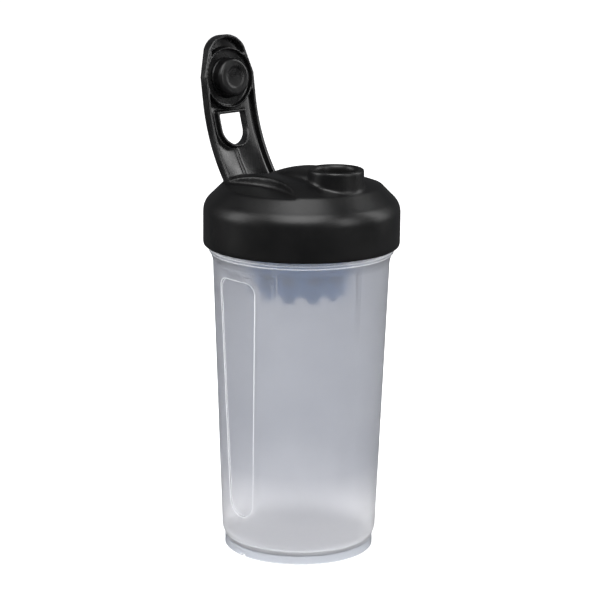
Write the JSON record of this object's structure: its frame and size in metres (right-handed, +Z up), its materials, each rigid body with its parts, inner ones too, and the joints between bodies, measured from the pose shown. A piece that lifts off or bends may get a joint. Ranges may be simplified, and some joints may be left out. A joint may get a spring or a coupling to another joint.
{
  "type": "shaker bottle",
  "caption": "Frosted mixing cup with a black screw lid, a drinking spout, a flip cap on a carry arm and a basket sieve under the lid.",
  "frame": {"origin": "centre of the foot ring, on the plane that the bottle stands on", "axes": "+Z up along the cup's axis, +X towards the spout, the flip cap's hinge at -X with its axis along Y"},
  "size_m": [0.1139, 0.098, 0.2543],
  "materials": {
    "cup": "frosted see-through polypropylene",
    "lid": "satin black polypropylene",
    "arm": "semi-gloss black polypropylene",
    "stopper": "smooth black elastomer",
    "gasket": "matte black silicone",
    "sieve": "blue polypropylene",
    "pin": "drawn stainless rod"
  },
  "bodies": {
    "cup": {"cup": "cup"},
    "sieve": {"mixing_sieve": "sieve"},
    "lid": {"lid": "lid", "lid_gasket": "gasket"},
    "flip_cap": {"flip_cap": "arm", "spout_stopper": "stopper", "hinge_pin": "pin"}
  },
  "joints": [
    {"name": "lid_rise", "type": "slide", "parent": "cup", "child": "sieve", "axis": [0, 0, 1], "range_m": [0, 0.0075]},
    {"name": "lid_turn", "type": "hinge", "parent": "sieve", "child": "lid", "pos_m": [0, 0, 0.1555], "axis": [0, 0, 1], "range_deg": [0, 540]},
    {"name": "cap_flip", "type": "hinge", "parent": "lid", "child": "flip_cap", "pos_m": [-0.031, 0, 0.18022], "axis": [0, 1, 0], "range_deg": [0, 99]}
  ],
  "couplings": [
    {"joint": "lid_rise", "follows": "lid_turn", "m_per_rad": 0.00079577}
  ]
}
